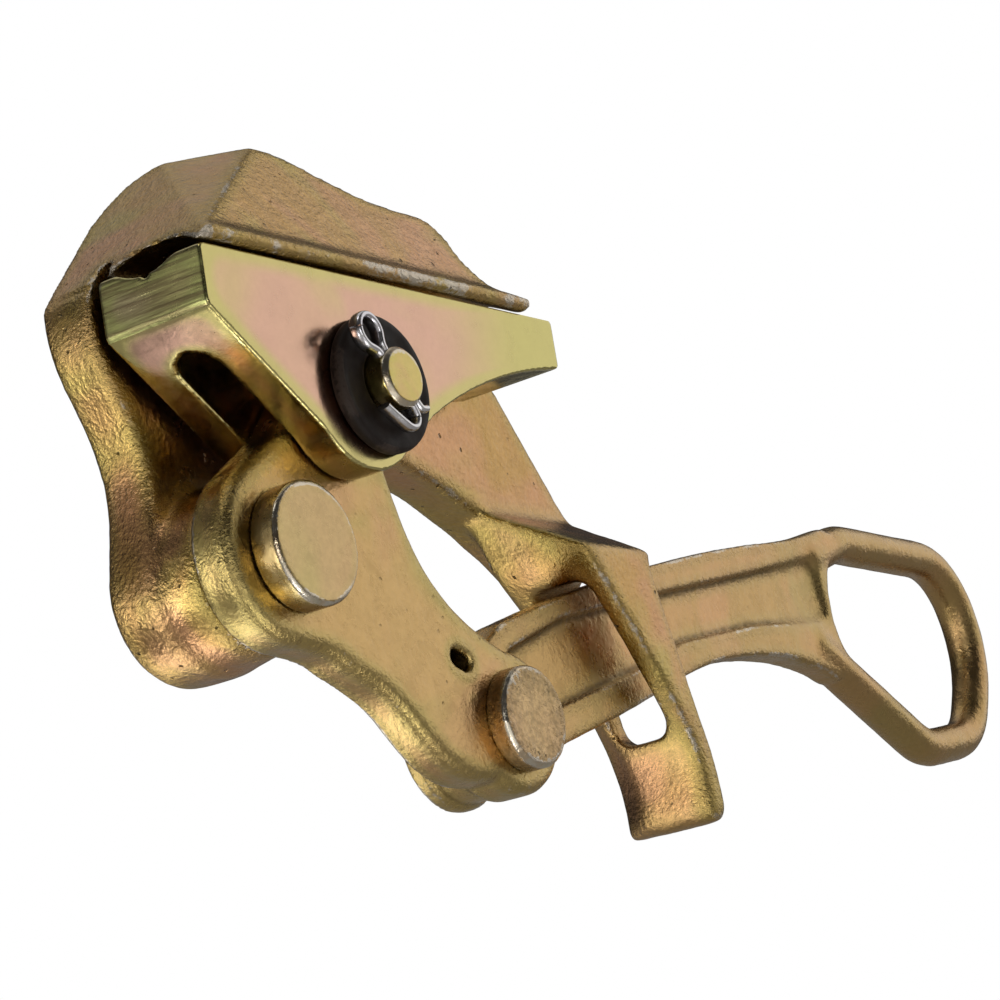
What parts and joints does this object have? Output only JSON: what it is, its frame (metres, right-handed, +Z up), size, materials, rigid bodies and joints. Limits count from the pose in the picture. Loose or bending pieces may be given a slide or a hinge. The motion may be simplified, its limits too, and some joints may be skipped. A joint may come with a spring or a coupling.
{
  "type": "cable pulling grip",
  "caption": "Forged parallel-jaw grip: a lever clamps a cable under a fixed hood as its shank is pulled.",
  "frame": {"origin": "on the cable seat, at the jaw's top face, straight above the moving jaw's pin", "axes": "+X along the gripped cable towards the pulling eye, +Z up from the moving jaw to the hood, +Y from the hood's open front to the back plate"},
  "size_m": [0.3591, 0.0572, 0.1518],
  "materials": {
    "forged_dichromate": "drop-forged steel, yellow dichromate zinc plate, pitted, worn on the ridges",
    "machined_dichromate": "smooth steel, iridescent yellow dichromate zinc plate, ground end face",
    "pin_steel": "turned steel, yellow dichromate zinc plate, bright chamfers",
    "zinc_wire": "bright zinc-plated wire",
    "black_rubber": "matte black rubber"
  },
  "bodies": {
    "frame": {"body_forging": "forged_dichromate", "lever_pin": "pin_steel"},
    "lever": {"lever": "forged_dichromate", "shank_pin": "pin_steel"},
    "jaw": {"moving_jaw": "machined_dichromate"},
    "shank": {"pull_shank": "forged_dichromate"},
    "jaw_pin": {"jaw_pin": "pin_steel", "split_pin": "zinc_wire"},
    "washer": {"washer": "black_rubber"}
  },
  "joints": [
    {"name": "lever_pivot", "type": "hinge", "parent": "frame", "child": "lever", "pos_m": [-0.0245, 0, -0.0618], "axis": [0, 1, 0], "range_deg": [0, 32]},
    {"name": "jaw_pivot", "type": "hinge", "parent": "lever", "child": "jaw", "pos_m": [0, 0, -0.0256], "axis": [0, 1, 0], "range_deg": [-32, 0]},
    {"name": "shank_pivot", "type": "hinge", "parent": "lever", "child": "shank", "pos_m": [0.0477, 0, -0.0963], "axis": [0, 1, 0], "range_deg": [-41, 0]},
    {"name": "jaw_pin_spin", "type": "hinge", "parent": "jaw", "child": "jaw_pin", "pos_m": [0, 0, -0.0256], "axis": [0, 1, 0], "continuous": true},
    {"name": "washer_spin", "type": "hinge", "parent": "jaw", "child": "washer", "pos_m": [0, 0, -0.0256], "axis": [0, 1, 0], "continuous": true}
  ],
  "couplings": [
    {"joint": "jaw_pivot", "follows": "lever_pivot", "ratio": -1},
    {"joint": "shank_pivot", "follows": "lever_pivot", "ratio": -1.272}
  ]
}
